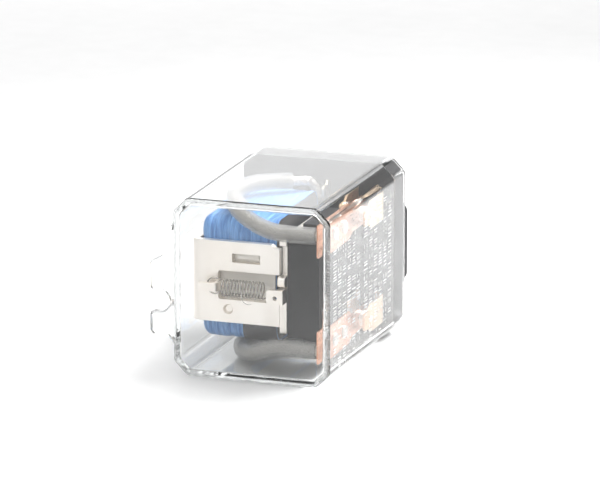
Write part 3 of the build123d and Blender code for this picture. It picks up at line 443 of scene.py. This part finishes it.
def tube(line, radius, sides=10, bore=0.0, ends=True):
    """Vertices and faces of a tube along a line.  radius is a number or one for each point, in
    metres; a bore makes it hollow."""
    frames = line_frames(line)
    radii = radius if hasattr(radius, "__len__") else [radius] * len(line)
    vertices, faces = [], []

    def skin(scale, inwards):
        first = len(vertices)
        for (spot, a, b), r in zip(frames, radii):
            for k in range(sides):
                angle = tau * k / sides
                vertices.append(spot + (a * cos(angle) + b * sin(angle)) * r * scale)
        for i in range(len(line) - 1):
            for k in range(sides):
                here, there = first + i * sides, first + (i + 1) * sides
                ring = (here + k, here + (k + 1) % sides, there + (k + 1) % sides, there + k)
                faces.append(ring[::-1] if inwards else ring)
        return first, first + (len(line) - 1) * sides

    outer = skin(1.0, False)
    if bore:
        inner = skin(bore, True)
        for k in range(sides):
            after = (k + 1) % sides
            faces.append((outer[0] + after, outer[0] + k, inner[0] + k, inner[0] + after))
            faces.append((outer[1] + k, outer[1] + after, inner[1] + after, inner[1] + k))
    elif ends:
        faces.append(tuple(outer[0] + k for k in reversed(range(sides))))
        faces.append(tuple(outer[1] + k for k in range(sides)))
    return vertices, faces


def joined(parts):
    """One list of vertices and faces from several."""
    vertices, faces = [], []
    for more, rings in parts:
        first = len(vertices)
        vertices += more
        faces += [tuple(first + i for i in ring) for ring in rings]
    return vertices, faces


# ---------------------------------------------------------------- coil wrap
COIL_DEPTH, COIL_HALF, COIL_ROUND = 23.2, 13.2, 3.2
COIL_LEFT, COIL_RIGHT = -14.75, 2.1
END_ROUND = 2.2  # of the coil's left end, that the tape is folded over
LEG_EDGE, LEG_HALF = -14.4, 8.9  # the wrap stops here beside the yoke's leg
TAPE = 0.3
WIRE_PITCH, WIRE_SHOWS = 0.36, 0.05  # of the winding's turns, felt through the tape
FOLDS = (-8.6, -6.0, 0.4)  # edges of overlapping turns of the tape
FOLD_STEP, FOLD_FADE = 0.10, 1.6  # a turn's height over the next, and how far it takes to sink
FOLD_GROOVE, GROOVE_WIDTH = 0.12, 0.12
WANDER = 0.35  # of a fold's edge, either way
WRINKLES = ((0.11, 0.55, 22, 1.3), (0.05, 1.8, 60, 5.1))  # depth, scale along, scale round, seed
WRINKLE_LEVEL = 0.35
WRAP_INSET, RAGGED, WRAP_SHORT = 0.15, 0.08, 0.02  # of its edges inside the CAD's tape


def round_square(turn, half, corner):
    """Point and outward normal at a share of the way round a rounded square, in (depth, height)."""
    straight = 2 * (half - corner)
    arc = pi / 2 * corner
    quarter = straight + arc
    along = (turn % 1.0) * 4 * quarter
    side_index, rest = int(along // quarter) % 4, along % quarter
    if rest < straight:
        spot, normal = Vector((-half, -straight / 2 + rest)), Vector((-1, 0))
    else:
        angle = (rest - straight) / corner
        centre = Vector((-half + corner, half - corner))
        normal = Vector((-cos(angle), sin(angle)))
        spot = centre + normal * corner
    spin = Matrix.Rotation(-pi / 2 * side_index, 2)
    return spin @ spot, spin @ normal


def end_drop(x):
    """How far the rounded left end drops below the coil's sides at x."""
    short = max(END_ROUND - (x - COIL_LEFT), 0.0)
    return END_ROUND - (END_ROUND**2 - min(short, END_ROUND) ** 2) ** 0.5


def wrap_relief(x, turn):
    """How far the tape stands off its smooth form, in mm: wire turns, folds and soft wrinkles."""
    wire = tau * x / WIRE_PITCH + 0.6 * noise.noise((x, turn * 9, 0))
    relief = WIRE_SHOWS * (sin(wire) - 1)
    for k, fold in enumerate(FOLDS):
        edge = fold + WANDER * noise.noise((turn * 6, k, 3.7))
        if x > edge:
            relief -= FOLD_STEP * (1 - min((x - edge) / FOLD_FADE, 1.0))
        relief -= FOLD_GROOVE * np.exp(-(((x - edge) / GROOVE_WIDTH) ** 2))
    for depth, along, around, seed in WRINKLES:
        relief += depth * (noise.noise((x * along, turn * around, seed)) - WRINKLE_LEVEL)
    return min(relief, 0.0)


def add_coil_wrap():
    """The tape as a closed skin, TAPE thick, round the coil and over its rounded left end."""
    columns, rows = 230, 260
    vertices, faces = [], []
    for inside in (0, 1):
        for i in range(rows):
            spot, normal = round_square(i / rows, COIL_HALF, COIL_ROUND)
            beside_leg = abs(spot.y) < LEG_HALF
            left = LEG_EDGE if beside_leg else COIL_LEFT
            left += WRAP_INSET + RAGGED * noise.noise((i * 0.21, 2.2, 8.8))
            for j in range(columns + 1):
                x = left + (COIL_RIGHT - WRAP_SHORT - left) * j / columns
                off = (-TAPE if inside else wrap_relief(x, i / rows)) - end_drop(x)
                at = spot + normal * off
                vertices.append(place(x, COIL_DEPTH + at.x, at.y))
    wide = columns + 1
    shell = rows * wide
    for i in range(rows):
        here, there = i * wide, (i + 1) % rows * wide
        for j in range(columns):
            faces.append((here + j, here + j + 1, there + j + 1, there + j))
            faces.append(tuple(shell + k for k in (here + j, there + j, there + j + 1, here + j + 1)))
        for j in (0, columns):
            rim = (here + j, there + j, shell + there + j, shell + here + j)
            faces.append(rim if j == 0 else rim[::-1])
    wrap = add_piece("coil_wrap", vertices, faces, "blue_tape")
    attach(wrap, HOUSING)
    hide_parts("coil_tape")


add_coil_wrap()

# ---------------------------------------------------------------- return spring
SPRING_DEPTH, SPRING_HEIGHT = 5.5, -0.6
SPRING_WIRE, SPRING_RADIUS = 0.32, 1.7
SPRING_LEFT, SPRING_RIGHT, SPRING_TURNS = -8.0, 0.9, 12.5
POINTS_A_TURN = 28
LOOP_START, LOOP_SWEEP, LOOP_POINTS = radians(20), radians(300), 24
UNEVEN, UNEVEN_CYCLE = 0.012, 3.1  # of the turns' radius, as a share, and in turns to a radian
LOOP_LEFT, LOOP_DEPTH = -11.95, 6.3
HOLE_X, HOLE_HEIGHT, TAIL_FRONT = 3.4, -1.9, 5.0


def add_spring():
    """One wire: the loop round the yoke's tab, the turns and the hook in the armature's tail."""
    top, bottom = SPRING_HEIGHT + SPRING_RADIUS, SPRING_HEIGHT - SPRING_RADIUS
    steps = int(SPRING_TURNS * POINTS_A_TURN)
    coil = []
    for k in range(steps + 1):
        share = k / steps
        angle = tau * SPRING_TURNS * share
        radius = SPRING_RADIUS * (1 + UNEVEN * sin(UNEVEN_CYCLE * angle / tau))
        x = SPRING_LEFT + (SPRING_RIGHT - SPRING_LEFT) * share
        coil.append((x, SPRING_DEPTH - radius * sin(angle), SPRING_HEIGHT + radius * cos(angle)))
    loop = []
    for k in range(LOOP_POINTS + 1):  # from the right, under the tab and over it
        angle = LOOP_START + LOOP_SWEEP * k / LOOP_POINTS
        x = LOOP_LEFT + SPRING_RADIUS * (1 + cos(angle))
        loop.append((x, LOOP_DEPTH, SPRING_HEIGHT - SPRING_RADIUS * sin(angle)))
    start = [*loop, (SPRING_LEFT - 0.45, LOOP_DEPTH - 0.5, top)]
    finish = [
        (SPRING_RIGHT + 0.25, TAIL_FRONT + 1.6, bottom),
        (2.2, TAIL_FRONT + 1.75, HOLE_HEIGHT - 0.3),
        (HOLE_X - 0.2, TAIL_FRONT + 1.7, HOLE_HEIGHT),
        (HOLE_X, TAIL_FRONT + 1.0, HOLE_HEIGHT),
        (HOLE_X, TAIL_FRONT - 0.45, HOLE_HEIGHT),
    ]
    line = smooth_line(start + coil + finish, order=4, resolution=2)
    vertices, faces = tube(line, SPRING_WIRE / 2 * MM, sides=10)
    spring = add_piece("spring_wire", vertices, faces, "spring_steel")
    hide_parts("return_spring")
    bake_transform(spring)


add_spring()

# ---------------------------------------------------------------- pigtails
CARRIER_RIGHT, COMMON_ROW, BLADE_THICK = 13.1, 2.5, 0.51
BRAID, SLEEVE, SLEEVE_BORE = 2.0, 3.6, 2.7
BENDS = {1: 0.0, -1: 1.7}  # how much further right the lower pole's pigtail turns back
STRANDS = 8  # each way round
BRAID_PITCH = 7.0
STRAND = 0.23  # of the braid's radius
WEAVE = 0.07  # how far a strand rises and dips as it crosses the others
RIPPLE, TRIM = 0.03, 0.04  # of the sleeve: its unevenness as a share, and its ends' slight chamfer


def pigtail_route(z):
    """The route of a pole's pigtail; z is 1 for the upper pole and -1 for the lower."""
    bend = BENDS[z]
    return (
        (CARRIER_RIGHT - 0.05, 4.8, z * 12.2),
        (8.0, 4.8, z * 12.2),
        (2.4 + bend / 2, 4.9, z * 12.3),
        (-3.4 + bend, 6.3, z * 14.5),
        (-7.8 + bend, 11.4, z * 15.7),
        (-10.0 + bend, 17.5, z * 15.65),
        (-10.0 + bend, 24.0, z * 15.7),
        (-6.6 + bend / 2, 29.0, z * 15.65),
        (-0.8, 31.6, z * 15.5),
        (0.9, 37.0, z * 14.6),
        (COMMON_ROW - BLADE_THICK / 2 - BRAID / 2 - 0.05, 39.3, z * 10.6),
    )


def sleeve_route(z):
    """The part of the pigtail's route that the sleeve covers."""
    return ((12.7, 4.8, z * 12.2), *pigtail_route(z)[1:-3], (-1.8, 31.15, z * 15.52))


def blend_pigtail(piece):
    """Bakes the piece's placement into its mesh; no part of it moves with the armature."""
    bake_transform(piece)


def add_pigtail(pole, z):
    """A pole's braid: strands wound both ways round a core."""
    line, length = even_points(smooth_line(pigtail_route(z)), 340)
    frames = line_frames(line)
    wire = BRAID / 2 * STRAND
    radius = BRAID / 2 - wire * 1.05
    turns = length / MM / BRAID_PITCH
    parts = []
    for way in (1, -1):
        for strand in range(STRANDS):
            path = []
            for k, (spot, a, b) in enumerate(frames):
                share = k / (len(frames) - 1)
                angle = way * tau * turns * share + tau * strand / STRANDS
                weave = way * WEAVE * sin(STRANDS * tau * turns * share + pi * strand)
                path.append(spot + (a * cos(angle) + b * sin(angle)) * (radius + weave) * MM)
            parts.append(tube(path, wire * MM, sides=5))
    core = tube(line, (radius - wire * 0.6) * MM, sides=10)
    vertices, faces = joined([*parts, core])
    braid = add_piece(f"pigtail_braid_{pole}", vertices, faces, "tinned_braid")
    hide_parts(f"pigtail_{pole}")
    blend_pigtail(braid)


def add_sleeve(pole, z):
    """The soft tube over a pole's braid."""
    line, length = even_points(smooth_line(sleeve_route(z)), 150)
    radii = []
    for k, spot in enumerate(line):
        ripple = RIPPLE * noise.noise(spot / MM * 0.6 + Vector((0, 0, z)))
        trim = TRIM if k in (0, len(line) - 1) else 0.0
        radii.append((SLEEVE / 2 * (1 - RIPPLE / 2 + ripple) - trim) * MM)
    vertices, faces = tube(line, radii, sides=40, bore=SLEEVE_BORE / SLEEVE)
    sleeve = add_piece(f"sleeving_{pole}", vertices, faces, "clear_sleeve")
    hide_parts(f"pigtail_sleeve_{pole}")
    blend_pigtail(sleeve)


for pole, z in POLES:
    add_pigtail(pole, z)
    add_sleeve(pole, z)

# ---------------------------------------------------------------- print on the contact side
INK_BACK, INK_FACE = -0.002, 0.008  # the ink's two sides, out from the cover's face
STROKE, CELL_GAP = 0.26, 0.2
CELLS = (0.6, 0.8, 1.0, 1.2)  # lengths of a mark along its row
TWO_BARS_FROM, SECOND_BAR = 0.9, 0.6  # a cell this long has a second bar across, this far on
ACROSS, ALONG = 0.45, 0.85  # shares of the cells, summed; the rest stay empty
BAR_HEIGHTS = (0.7, 1.0)  # of bars across, in parts of the row's height
LINES = ((-0.4, 0.4), (-0.4, 0.0, 0.4), (0.4,))  # of bars along, in the same parts
LINE_START, LINE_SHORT = 0.2, 0.3
WORD_GAP_SHARE, WORD_GAP = 0.06, 0.8
PRINT_ROWS = (  # depth of each row's middle, lowest and highest end, height of its marks
    (3.6, -15.6, 11.0, 2.1),
    (6.5, -15.6, 11.8, 2.1),
    (9.4, -15.6, 12.4, 2.1),
    (12.3, -15.6, 11.4, 2.1),
    (15.2, -15.2, 10.8, 2.1),
    (18.1, -15.2, 6.4, 2.1),
    (22.6, -14.8, 13.0, 2.3),
    (25.8, -14.8, 13.0, 2.1),
    (28.8, -14.4, 9.6, 2.1),
    (31.8, -14.4, 13.6, 2.1),
    (34.8, -14.0, 13.6, 2.1),
    (37.8, -12.0, 13.6, 2.1),
)


def cover_side(depth):
    """x of the cover's contact side at a depth."""
    return HALF_WIDTH - DRAFT * (1 - depth / COVER_DEPTH)


def add_print():
    """Rows of plain bars: parallel strokes across or along the row, in cells of uneven length."""
    vertices, faces = [], []

    def bar(depth, height, wide, tall):
        first = len(vertices)
        for lift in (INK_BACK, INK_FACE):
            for d, h in ((-wide, -tall), (wide, -tall), (wide, tall), (-wide, tall)):
                at = depth + d / 2
                vertices.append(place(cover_side(at) + lift, at, height + h / 2))
        for ring in ((0, 3, 2, 1), (4, 5, 6, 7), (0, 1, 5, 4), (1, 2, 6, 5), (2, 3, 7, 6), (3, 0, 4, 7)):
            faces.append(tuple(first + k for k in ring))

    for depth, bottom, top, tall in PRINT_ROWS:
        height = bottom
        while height < top:
            cell = random.choice(CELLS)
            kind = random.random()
            if kind < ACROSS:
                for offset in (0, SECOND_BAR) if cell > TWO_BARS_FROM else (0,):
                    bar(depth, height + offset, tall * random.choice(BAR_HEIGHTS), STROKE)
            elif kind < ALONG:
                for line in random.choice(LINES):
                    middle = height + cell / 2 - LINE_START
                    bar(depth + line * (tall - STROKE), middle, STROKE, cell - LINE_SHORT)
            height += cell + CELL_GAP
            if random.random() < WORD_GAP_SHARE:
                height += WORD_GAP
    marks = add_piece("print_marks", vertices, faces, "white_ink", smooth=False)
    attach(marks, HOUSING)


add_print()
